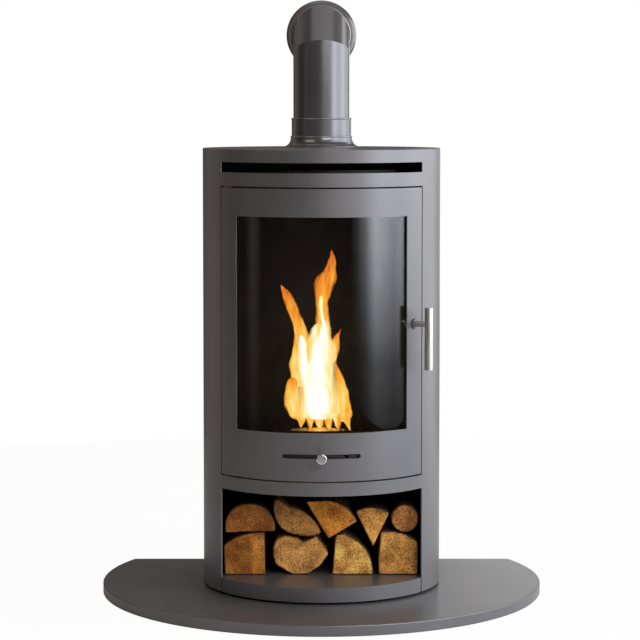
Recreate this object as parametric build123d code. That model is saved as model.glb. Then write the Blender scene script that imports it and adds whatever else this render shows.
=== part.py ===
from build123d import *
import os
from math import cos, degrees, radians, sin, sqrt, tan

# A round bioethanol stove on a D-shaped hearth plate, in millimetres.
# Z is the axis of the round body, the front faces -Y and the wall is at +Y.
# Angles are measured round the body from the front, positive to the right.

# Hearth plate and body
HEARTH_RADIUS = 382.0
HEARTH_CENTRE_Y = 23.0
HEARTH_THICK = 18.0
HEARTH_BEHIND = 1.0
HEARTH_EDGE = 1.5
BODY_RADIUS = 205.0
BACK_FLAT = 12.0
BODY_LIFT = 4.0
BODY_HEIGHT = 751.0
FLANGE_ROWS = 4
FLANGE_END = 40.0
SHEET = 2.0
TOP_THICK = 3.0
TOP_EDGE = 1.0
PANEL_FIT = 0.3
PAD_RADIUS = 15.0
PAD_INSET = 45.0

# Front openings, as heights above the underside of the body
FRONT_ANGLE = 55.6
GAP = 2.5
TRAY_HEIGHT = 24.3
LOG_OPENING_TOP = 177.7
DOOR_BOTTOM_LINE = 201.4
TOP_TO_DOOR = 62.9
TOP_TO_VENT = 21.7
VENT_SLOT = 16.8
FASCIA_ANGLE = 62.0
BACK_FLANGE = 20.0

# Door, window and glass
WINDOW_ABOVE_DOOR = 81.3
WINDOW_BELOW_DOOR = 48.2
WINDOW_ANGLE = 44.2
GLASS_THICK = 4.0
GLASS_OVERLAP = 8.5
GASKET_THICK = 1.5
FRAME_THICK = 2.0
FRAME_FLANGE = 15.0
FRAME_MARGIN = 3.5
CLIP_WIDTH = 20.0
CLIP_THICK = 2.0
CLIP_REACH = 7.0
CLIP_ANGLES = (-30.0, 0.0, 30.0)
HINGE_INSET = 8.0
HINGE_FROM_EDGE = 2.6
PIN_RADIUS = 4.0
PIN_FIT = 0.08
BUSH_WALL = 1.8
BRACKET_THICK = 3.0
BRACKET_DEPTH = 21.7
BRACKET_ARC = 12.0

# Handle, a lever that turns a latch tongue
HANDLE_ANGLE = 49.9
HANDLE_HEIGHT = 458.5
SPINDLE_RADIUS = 5.0
SPINDLE_FIT = 0.4
HANDLE_STAND_OFF = 29.0
BAR_RADIUS = 7.0
BAR_ABOVE = 28.5
BAR_BELOW = 76.5
COLLAR_RADIUS = 9.0
COLLAR_THICK = 3.0
TONGUE_THICK = 3.0
TONGUE_WIDTH = 16.0
TONGUE_REACH = 18.0
NUT_ACROSS = 16.0
NUT_THICK = 3.5

# Air shutter and its knob
SLOT_HEIGHT = 244.0
SLOT_HALF = 3.7
SLOT_ANGLE = 17.5
SHUTTER_THICK = 1.7
SHUTTER_HALF = 14.0
SHUTTER_ANGLE = 34.0
SHUTTER_FIT = 0.4
SHUTTER_TRAVEL = 16.0
RAIL_HALF = 8.0
STEM_RADIUS = 3.0
KNOB_RADIUS = 8.75
KNOB_THICK = 12.0
KNOB_FRONT = 30.0

# Firebox and log store
FLOOR_DROP = 2.15
LINER_INSET = 20.0
LINER_ANGLE = 58.0
CEILING_RIM = 92.7
CEILING_RISE = 4.65
DEFLECTOR_INSET = 53.0
DEFLECTOR_HEIGHT = 20.0
SHIELD_INSET = 25.0
SHIELD_DROP = 10.0
SPACER_RADIUS = 6.0
STORE_BACK_GAP = 3.0
POST_RADIUS = 10.0

# Burner
BURNER_WIDTH = 156.0
BURNER_DEPTH = 100.0
BURNER_HEIGHT = 58.0
BURNER_WALL = 1.5
BURNER_LIP = 8.0
TRAY_MARGIN = 12.0
TRAY_WALL = 1.5
TRAY_RIM = 12.0
MOUTH_LENGTH = 110.0
MOUTH_WIDTH = 34.0
MOUTH_Y = -19.0
LID_OVERLAP = 3.5
LID_FIT = 0.4
REST_GAP = 0.2
LID_THICK = 2.0
LID_TRAVEL = 43.0
LID_TAB = 10.0
WOOL_DROP = 14.0

# Pipe
PIPE_RADIUS = 50.0
PIPE_WALL = 1.5
PIPE_FROM_BACK = 73.0
PIPE_RISE = 167.0
PIPE_JOG = 32.5
PIPE_FIT = 0.3
WALL_GAP = 2.0
BASE_RING_RADIUS = 64.0
BASE_RING_HEIGHT = 17.0
BASE_RING_TOP = 54.5
COLLAR_TOP = 51.0
PIPE_COLLAR_RADIUS = 53.0
WALL_RING_RADIUS = 63.0
WALL_RING_DEPTH = 18.0
SPIGOT_HEIGHT = 48.0
SPIGOT_FLANGE = 56.0

# Logs, stacked for a store of this inner radius
LOG_LENGTH = 190.0
LOG_STORE_RADIUS = 203.0

# Levels and radii worked out from the sizes above
UP = (Align.CENTER, Align.CENTER, Align.MIN)
BASE_Z = HEARTH_THICK + BODY_LIFT
TOP_Z = BASE_Z + BODY_HEIGHT
INNER_RADIUS = BODY_RADIUS - SHEET
BODY_BACK_Y = BODY_RADIUS - BACK_FLAT
HEARTH_BACK_Y = BODY_BACK_Y + HEARTH_BEHIND
WALL_Y = BODY_BACK_Y + WALL_GAP
PAD_CIRCLE = BODY_RADIUS - PAD_INSET
DOOR_TOP_LINE = BODY_HEIGHT - TOP_TO_DOOR
VENT_TOP = BODY_HEIGHT - TOP_TO_VENT
VENT_BOTTOM = VENT_TOP - VENT_SLOT
WINDOW_BOTTOM = DOOR_BOTTOM_LINE + WINDOW_ABOVE_DOOR
WINDOW_TOP = DOOR_TOP_LINE - WINDOW_BELOW_DOOR
HINGE_RADIUS = BODY_RADIUS - HINGE_INSET
HINGE_ANGLE = HINGE_FROM_EDGE - FRONT_ANGLE
LINER_RADIUS = BODY_RADIUS - LINER_INSET
DEFLECTOR_RADIUS = BODY_RADIUS - DEFLECTOR_INSET
SHIELD_RADIUS = BODY_RADIUS - SHIELD_INSET
PIPE_Y = BODY_BACK_Y - PIPE_FROM_BACK
PIPE_BEND_Z = TOP_Z + PIPE_RISE
PIPE_OUT_Z = PIPE_BEND_Z + PIPE_JOG
LOG_FIT = INNER_RADIUS / LOG_STORE_RADIUS
LOG_FRONT_Y = -LOG_FIT * LOG_LENGTH / 2
STORE_BACK_Y = LOG_FIT * LOG_LENGTH / 2 + STORE_BACK_GAP
PANEL_TOP_Z = TOP_Z - TOP_THICK
PANEL_BACK_Y = BODY_BACK_Y - SHEET
TRAY_Z = BASE_Z + TRAY_HEIGHT
STORE_TOP_Z = BASE_Z + LOG_OPENING_TOP
DOOR_OPENING_BOTTOM = BASE_Z + DOOR_BOTTOM_LINE - GAP / 2
DOOR_OPENING_TOP = BASE_Z + DOOR_TOP_LINE + GAP / 2
DOOR_Z0 = DOOR_OPENING_BOTTOM + GAP
DOOR_Z1 = DOOR_OPENING_TOP - GAP
FLOOR_Z = DOOR_OPENING_BOTTOM - FLOOR_DROP
CEILING_Z = DOOR_OPENING_TOP + CEILING_RISE
GAP_ANGLE = degrees(GAP / 2 / BODY_RADIUS)
OPENING_ANGLE = FRONT_ANGLE + GAP_ANGLE
DOOR_ANGLE = FRONT_ANGLE - GAP_ANGLE
HANDLE_Z = BASE_Z + HANDLE_HEIGHT
SLOT_Z = BASE_Z + SLOT_HEIGHT
FRAME_INNER = INNER_RADIUS - FRAME_THICK
SHUTTER_OUTER = FRAME_INNER - SHUTTER_FIT
SHUTTER_INNER = SHUTTER_OUTER - SHUTTER_THICK
GLASS_OUTER = INNER_RADIUS - GASKET_THICK
GLASS_INNER = GLASS_OUTER - GLASS_THICK
PIPE_INNER = PIPE_RADIUS - PIPE_WALL


def at(radius, angle, z=0.0):
    """Point at a radius and an angle from the front."""
    return Vector(radius * sin(radians(angle)), -radius * cos(radians(angle)), z)


def degrees_along(length, radius=BODY_RADIUS):
    """Angle that an arc of this length takes at a radius."""
    return degrees(length / radius)


def disc(radius, z0, z1, x=0.0, y=0.0):
    """Round plate or rod standing between two heights."""
    return Pos(x, y, z0) * Cylinder(radius, z1 - z0, align=UP)


def block(x0, x1, y0, y1, z0, z1):
    """Block between its lowest and highest corners."""
    size = Box(x1 - x0, y1 - y0, z1 - z0, align=(Align.MIN, Align.MIN, Align.MIN))
    return Pos(x0, y0, z0) * size


def curved_panel(outer, inner, start, end, z0, z1):
    """Panel rolled round the body's axis, from one angle to another."""
    middle = (start + end) / 2
    outline = [
        ThreePointArc(at(outer, start), at(outer, middle), at(outer, end)),
        Line(at(outer, end), at(inner, end)),
        ThreePointArc(at(inner, end), at(inner, middle), at(inner, start)),
        Line(at(inner, start), at(outer, start)),
    ]
    face = make_face(Curve() + outline)
    return extrude(Pos(0, 0, z0) * face, z1 - z0, dir=(0, 0, 1))


def radial_rod(radius, angle, z, near, far):
    """Round rod along the outward direction, from one distance to another."""
    start = Plane(origin=at(near, angle, z), z_dir=at(1, angle))
    return start * Cylinder(radius, far - near, align=UP)


def trimmed(shape, y):
    """Shape without what lies behind a distance towards the wall."""
    reach = 3 * BODY_RADIUS
    return shape - block(-reach, reach, y, y + reach, -reach, 6 * reach)


def turned(points, x, y, z, z_dir=(0, 0, 1)):
    """Closed ring from half of its section, points as radius and height."""
    corners = [Vector(radius, 0, height) for radius, height in points]
    face = make_face(Polyline(*corners, close=True))
    ring = revolve(face, Axis.Z, 360)
    return Plane(origin=(x, y, z), z_dir=z_dir) * ring


def save(shape, name):
    """Write one named piece, or a group of like pieces, to its own file."""
    export_step(shape, f"parts/{name}.step")


def hearth():
    plate = disc(HEARTH_RADIUS, 0, HEARTH_THICK, 0, HEARTH_CENTRE_Y)
    plate = trimmed(plate, HEARTH_BACK_Y)
    rims = plate.edges().group_by(Axis.Z)
    plate = fillet(rims[0] + rims[-1], HEARTH_EDGE)
    save(plate, "hearth_plate")
    pads = []
    for angle in (45.0, 135.0, 225.0, 315.0):
        place = at(PAD_CIRCLE, angle)
        pads.append(disc(PAD_RADIUS, HEARTH_THICK, BASE_Z, place.X, place.Y))
    save(Compound(children=pads), "foot_pads")


def screw_places():
    """Heights and sides of the screws that hold the back panel."""
    x = flange_screw_x()
    low = BASE_Z + FLANGE_END
    high = PANEL_TOP_Z - FLANGE_END
    heights = [low + (high - low) * row / (FLANGE_ROWS - 1) for row in range(FLANGE_ROWS)]
    return [(side * x, z) for z in heights for side in (-1, 1)]


def flange_screw_x():
    half_chord = sqrt(INNER_RADIUS ** 2 - PANEL_BACK_Y ** 2)
    return half_chord - BACK_FLANGE / 2


def back_screw(x, z):
    """Button-head screw through the back panel and the folded flange."""
    shank = Plane(origin=(x, PANEL_BACK_Y - 3 * SHEET, z), z_dir=(0, 1, 0))
    head = Plane(origin=(x, BODY_BACK_Y, z), z_dir=(0, 1, 0))
    rod = shank * Cylinder(2.0, 4 * SHEET, align=UP)
    cap = head * Cylinder(4.0, 1.4, align=UP)
    return rod + cap


def screw_hole(x, z):
    start = Plane(origin=(x, PANEL_BACK_Y - 5 * SHEET, z), z_dir=(0, 1, 0))
    return start * Cylinder(2.2, 10 * SHEET, align=UP)


def side_panel():
    """Right-hand side sheet, with the flange that takes the back panel."""
    panel = disc(BODY_RADIUS, BASE_Z, PANEL_TOP_Z) - disc(INNER_RADIUS, BASE_Z, PANEL_TOP_Z)
    panel = trimmed(panel, PANEL_BACK_Y) - block(
        -2 * BODY_RADIUS, 0, -2 * BODY_RADIUS, 2 * BODY_RADIUS, BASE_Z, PANEL_TOP_Z,
    )
    panel -= curved_panel(
        BODY_RADIUS + SHEET, INNER_RADIUS - SHEET, -OPENING_ANGLE, OPENING_ANGLE, BASE_Z, PANEL_TOP_Z,
    )
    notch = curved_panel(
        BODY_RADIUS + SHEET, INNER_RADIUS - SHEET, OPENING_ANGLE - 2, FASCIA_ANGLE,
        DOOR_OPENING_TOP, PANEL_TOP_Z + 1,
    )
    panel -= notch
    edge_x = sqrt(INNER_RADIUS ** 2 - PANEL_BACK_Y ** 2)
    flange = block(
        edge_x - BACK_FLANGE, BODY_RADIUS, PANEL_BACK_Y - SHEET, PANEL_BACK_Y,
        BASE_Z, PANEL_TOP_Z,
    )
    flange &= disc(INNER_RADIUS + SHEET / 2, BASE_Z, PANEL_TOP_Z)
    panel += flange
    for x, z in screw_places():
        if x > 0:
            panel -= screw_hole(x, z)
    return panel


def cabinet():
    right = side_panel()
    save(right, "side_panel_right")
    save(mirror(right, about=Plane.YZ), "side_panel_left")

    fascia = curved_panel(
        BODY_RADIUS, INNER_RADIUS, -FASCIA_ANGLE, FASCIA_ANGLE, DOOR_OPENING_TOP, PANEL_TOP_Z,
    )
    fascia -= curved_panel(
        BODY_RADIUS + SHEET, INNER_RADIUS - SHEET, -FRONT_ANGLE, FRONT_ANGLE,
        BASE_Z + VENT_BOTTOM, BASE_Z + VENT_TOP,
    )
    save(fascia, "vent_fascia")

    lintel = curved_panel(
        BODY_RADIUS, INNER_RADIUS, -OPENING_ANGLE, OPENING_ANGLE,
        STORE_TOP_Z, DOOR_OPENING_BOTTOM,
    )
    save(lintel, "log_store_lintel")

    panel = block(
        -sqrt(BODY_RADIUS ** 2 - BODY_BACK_Y ** 2), sqrt(BODY_RADIUS ** 2 - BODY_BACK_Y ** 2),
        PANEL_BACK_Y, BODY_BACK_Y, BASE_Z, PANEL_TOP_Z,
    )
    screws = []
    for x, z in screw_places():
        panel -= screw_hole(x, z)
        screws.append(back_screw(x, z))
    save(panel, "back_panel")
    save(Compound(children=screws), "back_panel_screws")

    top = trimmed(disc(BODY_RADIUS, PANEL_TOP_Z, TOP_Z), BODY_BACK_Y)
    top = fillet(top.edges().group_by(Axis.Z)[-1], TOP_EDGE)
    top -= disc(PIPE_INNER - PIPE_FIT - 2 * PIPE_WALL, PANEL_TOP_Z, TOP_Z, 0, PIPE_Y)
    save(top, "top_plate")

    base = trimmed(disc(INNER_RADIUS - PANEL_FIT, BASE_Z, BASE_Z + SHEET), PANEL_BACK_Y - SHEET - PANEL_FIT)
    save(base, "base_plate")


def inner_disc(z0, z1):
    """Flat sheet that fills the body's plan inside its walls."""
    sheet = disc(INNER_RADIUS - PANEL_FIT, z0, z1)
    return trimmed(sheet, PANEL_BACK_Y - SHEET - PANEL_FIT)


def log_store():
    floor = inner_disc(TRAY_Z - SHEET, TRAY_Z)
    skirt = curved_panel(
        BODY_RADIUS, INNER_RADIUS, -DOOR_ANGLE, DOOR_ANGLE, BASE_Z, TRAY_Z,
    )
    web = curved_panel(
        INNER_RADIUS + SHEET / 2, INNER_RADIUS - 2 * SHEET, -DOOR_ANGLE, DOOR_ANGLE,
        TRAY_Z - SHEET, TRAY_Z,
    )
    save(floor + web + skirt, "log_tray")

    posts = []
    for angle in (45.0, 135.0, 225.0, 315.0):
        place = at(PAD_CIRCLE, angle)
        posts.append(disc(POST_RADIUS, BASE_Z + SHEET, TRAY_Z - SHEET, place.X, place.Y))
    save(Compound(children=posts), "tray_posts")

    save(inner_disc(STORE_TOP_Z, STORE_TOP_Z + SHEET), "log_store_ceiling")

    half = sqrt((INNER_RADIUS - PANEL_FIT) ** 2 - (STORE_BACK_Y + SHEET) ** 2)
    back = block(-half, half, STORE_BACK_Y, STORE_BACK_Y + SHEET, TRAY_Z, STORE_TOP_Z)
    save(back, "log_store_back")


def firebox():
    save(inner_disc(FLOOR_Z - SHEET, FLOOR_Z), "firebox_floor")

    liner = curved_panel(
        LINER_RADIUS, LINER_RADIUS - SHEET, LINER_ANGLE, 360 - LINER_ANGLE, FLOOR_Z, CEILING_Z,
    )
    save(liner, "firebox_liner")

    ceiling = inner_disc(CEILING_Z, CEILING_Z + SHEET)
    ceiling -= disc(INNER_RADIUS - PANEL_FIT - CEILING_RIM, CEILING_Z, CEILING_Z + SHEET)
    save(ceiling, "firebox_ceiling")

    deflector_z = CEILING_Z + SHEET
    deflector = curved_panel(
        DEFLECTOR_RADIUS, DEFLECTOR_RADIUS - SHEET, -FRONT_ANGLE, FRONT_ANGLE,
        deflector_z, deflector_z + DEFLECTOR_HEIGHT,
    )
    save(deflector, "vent_deflector")

    shield_top = PANEL_TOP_Z - SHIELD_DROP
    shield = disc(SHIELD_RADIUS, shield_top - SHEET, shield_top)
    spacers = []
    for angle in (45.0, 135.0, 225.0, 315.0):
        place = at(SHIELD_RADIUS - 3 * SPACER_RADIUS, angle)
        spacers.append(disc(SPACER_RADIUS, shield_top, PANEL_TOP_Z, place.X, place.Y))
    save(shield, "top_heat_shield")
    save(Compound(children=spacers), "heat_shield_spacers")


def hinges():
    """Pins, bushes and fixed brackets on the door's left edge."""
    pivot = at(HINGE_RADIUS, HINGE_ANGLE)
    bush_radius = PIN_RADIUS + PIN_FIT + BUSH_WALL

    def bracket(z0):
        plate = curved_panel(
            INNER_RADIUS - PANEL_FIT, INNER_RADIUS - PANEL_FIT - BRACKET_DEPTH,
            -LINER_ANGLE, BRACKET_ARC - LINER_ANGLE,
            z0, z0 + BRACKET_THICK,
        )
        return plate - disc(PIN_RADIUS, z0, z0 + BRACKET_THICK, pivot.X, pivot.Y)

    low = FLOOR_Z
    high = CEILING_Z - BRACKET_THICK
    save(Compound(children=[bracket(low), bracket(high)]), "hinge_brackets")

    frame_low = DOOR_Z0 + FRAME_MARGIN
    frame_high = DOOR_Z1 - FRAME_MARGIN
    pin_low = disc(PIN_RADIUS, low, frame_low + 3 * FRAME_THICK, pivot.X, pivot.Y)
    pin_high = disc(PIN_RADIUS, frame_high - 3 * FRAME_THICK, high + BRACKET_THICK, pivot.X, pivot.Y)
    save(Compound(children=[pin_low, pin_high]), "hinge_pins")

    def bush(z0, z1):
        sleeve = disc(bush_radius, z0, z1, pivot.X, pivot.Y)
        return sleeve - disc(PIN_RADIUS + PIN_FIT, z0, z1, pivot.X, pivot.Y)

    lower = bush(low + BRACKET_THICK + PANEL_FIT, frame_low + 2 * FRAME_THICK)
    upper = bush(frame_high - 2 * FRAME_THICK, high - PANEL_FIT)
    save(Compound(children=[lower, upper]), "door_hinge_bushes")


def door_slot(outer, inner):
    """Slot with round ends that the knob's stem slides in."""
    slot = curved_panel(outer, inner, -SLOT_ANGLE, SLOT_ANGLE, SLOT_Z - SLOT_HALF, SLOT_Z + SLOT_HALF)
    for side in (-1, 1):
        slot += radial_rod(SLOT_HALF, side * SLOT_ANGLE, SLOT_Z, inner, outer)
    return slot


def door():
    window_z0 = BASE_Z + WINDOW_BOTTOM
    window_z1 = BASE_Z + WINDOW_TOP
    skin = curved_panel(BODY_RADIUS, INNER_RADIUS, -DOOR_ANGLE, DOOR_ANGLE, DOOR_Z0, DOOR_Z1)
    skin -= curved_panel(
        BODY_RADIUS + SHEET, INNER_RADIUS - SHEET, -WINDOW_ANGLE, WINDOW_ANGLE,
        window_z0, window_z1,
    )
    skin -= door_slot(BODY_RADIUS + SHEET, INNER_RADIUS - SHEET)
    handle_hole = radial_rod(
        SPINDLE_RADIUS + SPINDLE_FIT, HANDLE_ANGLE, HANDLE_Z,
        FRAME_INNER - FRAME_FLANGE, BODY_RADIUS + SHEET,
    )
    skin -= handle_hole
    save(skin, "door_skin")

    overlap = degrees_along(GLASS_OVERLAP)
    glass_angle = WINDOW_ANGLE + overlap
    glass_z0 = window_z0 - GLASS_OVERLAP
    glass_z1 = window_z1 + GLASS_OVERLAP
    frame_angle = DOOR_ANGLE - degrees_along(1.0)
    frame_z0 = DOOR_Z0 + FRAME_MARGIN
    frame_z1 = DOOR_Z1 - FRAME_MARGIN
    frame = curved_panel(INNER_RADIUS, FRAME_INNER, -frame_angle, frame_angle, frame_z0, frame_z1)
    frame -= curved_panel(
        INNER_RADIUS + SHEET, FRAME_INNER - SHEET,
        -glass_angle - degrees_along(CLIP_THICK), glass_angle + degrees_along(CLIP_THICK),
        glass_z0 - CLIP_THICK, glass_z1 + CLIP_THICK,
    )
    for z0 in (frame_z0, frame_z1 - FRAME_THICK):
        frame += curved_panel(
            FRAME_INNER + SHEET / 2, INNER_RADIUS - FRAME_FLANGE, -frame_angle, frame_angle,
            z0, z0 + FRAME_THICK,
        )
    frame -= door_slot(INNER_RADIUS + SHEET, FRAME_INNER - SHEET)
    frame -= handle_hole
    pivot = at(HINGE_RADIUS, HINGE_ANGLE)
    frame -= disc(PIN_RADIUS + PIN_FIT + BUSH_WALL, frame_z0 - 1, frame_z1 + 1, pivot.X, pivot.Y)

    glass = curved_panel(GLASS_OUTER, GLASS_INNER, -glass_angle, glass_angle, glass_z0, glass_z1)
    save(glass, "door_glass")

    gasket = curved_panel(
        INNER_RADIUS, GLASS_OUTER, -glass_angle, glass_angle, glass_z0, glass_z1,
    )
    gasket -= curved_panel(
        INNER_RADIUS + SHEET, GLASS_OUTER - SHEET,
        -WINDOW_ANGLE - overlap / 4, WINDOW_ANGLE + overlap / 4,
        window_z0 - GLASS_OVERLAP / 4, window_z1 + GLASS_OVERLAP / 4,
    )
    save(gasket, "glass_gasket")

    clips = []
    screws = []
    half = degrees_along(CLIP_WIDTH) / 2
    for angle in CLIP_ANGLES:
        for edge, side in ((glass_z0, -1), (glass_z1, 1)):
            foot = sorted((edge + side * CLIP_THICK, edge + side * (CLIP_THICK + CLIP_REACH)))
            tongue = sorted((edge - side * CLIP_REACH, edge + side * (CLIP_THICK + CLIP_REACH)))
            clip = curved_panel(
                GLASS_INNER, GLASS_INNER - CLIP_THICK, angle - half, angle + half, *tongue,
            )
            clip += curved_panel(
                FRAME_INNER, GLASS_INNER - CLIP_THICK / 2, angle - half, angle + half, *foot,
            )
            screw_z = edge + side * (CLIP_THICK + CLIP_REACH / 2)
            near = GLASS_INNER - 2 * CLIP_THICK
            screw = radial_rod(2.0, angle, screw_z, near, INNER_RADIUS - 0.2)
            screw += radial_rod(3.2, angle, screw_z, near, GLASS_INNER - CLIP_THICK - 0.1)
            clip -= radial_rod(2.0, angle, screw_z, near, INNER_RADIUS)
            frame -= radial_rod(2.0, angle, screw_z, near, INNER_RADIUS)
            clips.append(clip)
            screws.append(screw)
    save(frame, "door_inner_frame")
    save(Compound(children=clips), "glass_clips")
    save(Compound(children=screws), "glass_clip_screws")

    rails = []
    for side in (-1, 1):
        lip = sorted((
            SLOT_Z + side * (SHUTTER_HALF - RAIL_HALF / 4),
            SLOT_Z + side * (SHUTTER_HALF + RAIL_HALF * 3 / 4),
        ))
        groove = sorted((SLOT_Z, SLOT_Z + side * (SHUTTER_HALF + SHUTTER_FIT)))
        rail_angle = SHUTTER_ANGLE + SHUTTER_TRAVEL / 2
        rail = curved_panel(
            FRAME_INNER, SHUTTER_INNER - 2 * SHUTTER_FIT - SHEET / 2, -rail_angle, rail_angle, *lip,
        )
        rail -= curved_panel(
            FRAME_INNER + SHEET, SHUTTER_INNER - SHUTTER_FIT, -rail_angle - 1, rail_angle + 1, *groove,
        )
        rails.append(rail)
    save(Compound(children=rails), "shutter_rails")


def air_control():
    shutter = curved_panel(
        SHUTTER_OUTER, SHUTTER_INNER, -SHUTTER_ANGLE, SHUTTER_ANGLE,
        SLOT_Z - SHUTTER_HALF, SLOT_Z + SHUTTER_HALF,
    )
    for angle in (12.0, 18.0, 24.0):
        shutter -= radial_rod(SLOT_HALF, angle, SLOT_Z, SHUTTER_INNER - SHEET, SHUTTER_OUTER + SHEET)
    knob_back = BODY_RADIUS + KNOB_FRONT - KNOB_THICK
    stem = radial_rod(STEM_RADIUS, 0, SLOT_Z, SHUTTER_INNER, knob_back + KNOB_THICK / 2)
    knob = radial_rod(KNOB_RADIUS, 0, SLOT_Z, knob_back, knob_back + KNOB_THICK)
    knob = fillet(knob.edges().filter_by(GeomType.CIRCLE), 1.5)
    shutter -= stem
    knob -= stem
    save(shutter, "air_shutter")
    save(stem, "knob_stem")
    save(knob, "slider_knob")


def handle():
    bar_distance = BODY_RADIUS + HANDLE_STAND_OFF
    centre = at(bar_distance, HANDLE_ANGLE)
    bar = disc(BAR_RADIUS, HANDLE_Z - BAR_BELOW, HANDLE_Z + BAR_ABOVE, centre.X, centre.Y)
    bar = fillet(bar.edges().filter_by(GeomType.CIRCLE), 0.8)
    tongue_far = GLASS_INNER - TONGUE_THICK
    nut_near = tongue_far - TONGUE_THICK - NUT_THICK
    spindle = radial_rod(SPINDLE_RADIUS, HANDLE_ANGLE, HANDLE_Z, nut_near, bar_distance - BAR_RADIUS / 2)
    bar -= spindle
    save(bar, "handle_bar")

    collar = radial_rod(COLLAR_RADIUS, HANDLE_ANGLE, HANDLE_Z, BODY_RADIUS, BODY_RADIUS + COLLAR_THICK)
    collar -= radial_rod(
        SPINDLE_RADIUS + SPINDLE_FIT, HANDLE_ANGLE, HANDLE_Z, BODY_RADIUS, BODY_RADIUS + COLLAR_THICK,
    )
    save(collar, "handle_collar")

    seat = Plane(
        origin=at(tongue_far - TONGUE_THICK, HANDLE_ANGLE, HANDLE_Z),
        x_dir=(cos(radians(HANDLE_ANGLE)), sin(radians(HANDLE_ANGLE)), 0),
        z_dir=at(1, HANDLE_ANGLE),
    )
    half = TONGUE_WIDTH / 2
    arm = Box(TONGUE_REACH, TONGUE_WIDTH, TONGUE_THICK, align=(Align.MIN, Align.CENTER, Align.MIN))
    tongue = seat * (arm + Cylinder(half, TONGUE_THICK, align=UP))
    tongue -= spindle
    save(tongue, "latch_tongue")

    nut_seat = Plane(origin=at(nut_near, HANDLE_ANGLE, HANDLE_Z), z_dir=at(1, HANDLE_ANGLE))
    hexagon = nut_seat * RegularPolygon(NUT_ACROSS / 2, 6, major_radius=False)
    nut = extrude(hexagon, NUT_THICK, dir=at(1, HANDLE_ANGLE))
    nut -= spindle
    save(nut, "spindle_nut")
    save(spindle, "handle_spindle")

    keeper = curved_panel(
        INNER_RADIUS - PANEL_FIT, tongue_far - TONGUE_THICK - 4.0, OPENING_ANGLE + 0.4,
        OPENING_ANGLE + 4.4, HANDLE_Z - TONGUE_WIDTH, HANDLE_Z + TONGUE_WIDTH,
    )
    save(keeper, "latch_keeper")


def burner():
    half_x = BURNER_WIDTH / 2
    half_y = BURNER_DEPTH / 2
    tray_x = half_x + TRAY_MARGIN
    tray_y = half_y + TRAY_MARGIN
    tray = block(-tray_x, tray_x, -tray_y, tray_y, FLOOR_Z, FLOOR_Z + TRAY_RIM)
    tray -= block(
        -tray_x + TRAY_WALL, tray_x - TRAY_WALL, -tray_y + TRAY_WALL, tray_y - TRAY_WALL,
        FLOOR_Z + TRAY_WALL, FLOOR_Z + TRAY_RIM,
    )
    save(tray, "burner_tray")

    z0 = FLOOR_Z + TRAY_WALL + REST_GAP
    z1 = z0 + BURNER_HEIGHT
    box = block(-half_x, half_x, -half_y, half_y, z0, z1)
    box -= block(
        -half_x + BURNER_WALL, half_x - BURNER_WALL, -half_y + BURNER_WALL, half_y - BURNER_WALL,
        z0 + BURNER_WALL, z1,
    )
    save(box, "burner_box")

    wool = block(
        -half_x + BURNER_WALL + PANEL_FIT, half_x - BURNER_WALL - PANEL_FIT,
        -half_y + BURNER_WALL + PANEL_FIT, half_y - BURNER_WALL - PANEL_FIT,
        z0 + BURNER_WALL, z1 - WOOL_DROP,
    )
    save(wool, "burner_wool")

    mouth_x = MOUTH_LENGTH / 2
    top = block(-half_x, half_x, -half_y, half_y, z1, z1 + BURNER_WALL)
    top -= block(
        -mouth_x, mouth_x, MOUTH_Y - MOUTH_WIDTH / 2, MOUTH_Y + MOUTH_WIDTH / 2,
        z1, z1 + BURNER_WALL,
    )
    lid_x = mouth_x + LID_OVERLAP
    guide_z0 = z1 + BURNER_WALL
    guide_z1 = guide_z0 + LID_THICK + REST_GAP + LID_FIT
    for side in (-1, 1):
        near, far = sorted((side * (lid_x + LID_FIT), side * (lid_x + LID_FIT + BURNER_LIP / 2)))
        top += block(near, far, -half_y, half_y, guide_z0, guide_z1)
        near, far = sorted((side * (lid_x - BURNER_LIP / 4), side * (lid_x + LID_FIT + BURNER_LIP / 2)))
        top += block(near, far, -half_y, half_y, guide_z1, guide_z1 + 1.0)
    save(top, "burner_top")

    lid_y = MOUTH_WIDTH / 2 + LID_OVERLAP
    open_y = MOUTH_Y + LID_TRAVEL
    lid_z0 = guide_z0 + REST_GAP
    lid = block(-lid_x, lid_x, open_y - lid_y, open_y + lid_y, lid_z0, lid_z0 + LID_THICK)
    lid += block(
        -LID_TAB, LID_TAB, open_y - lid_y, open_y - lid_y + LID_THICK,
        lid_z0 + LID_THICK, lid_z0 + LID_THICK + LID_TAB,
    )
    save(lid, "burner_lid")


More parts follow.
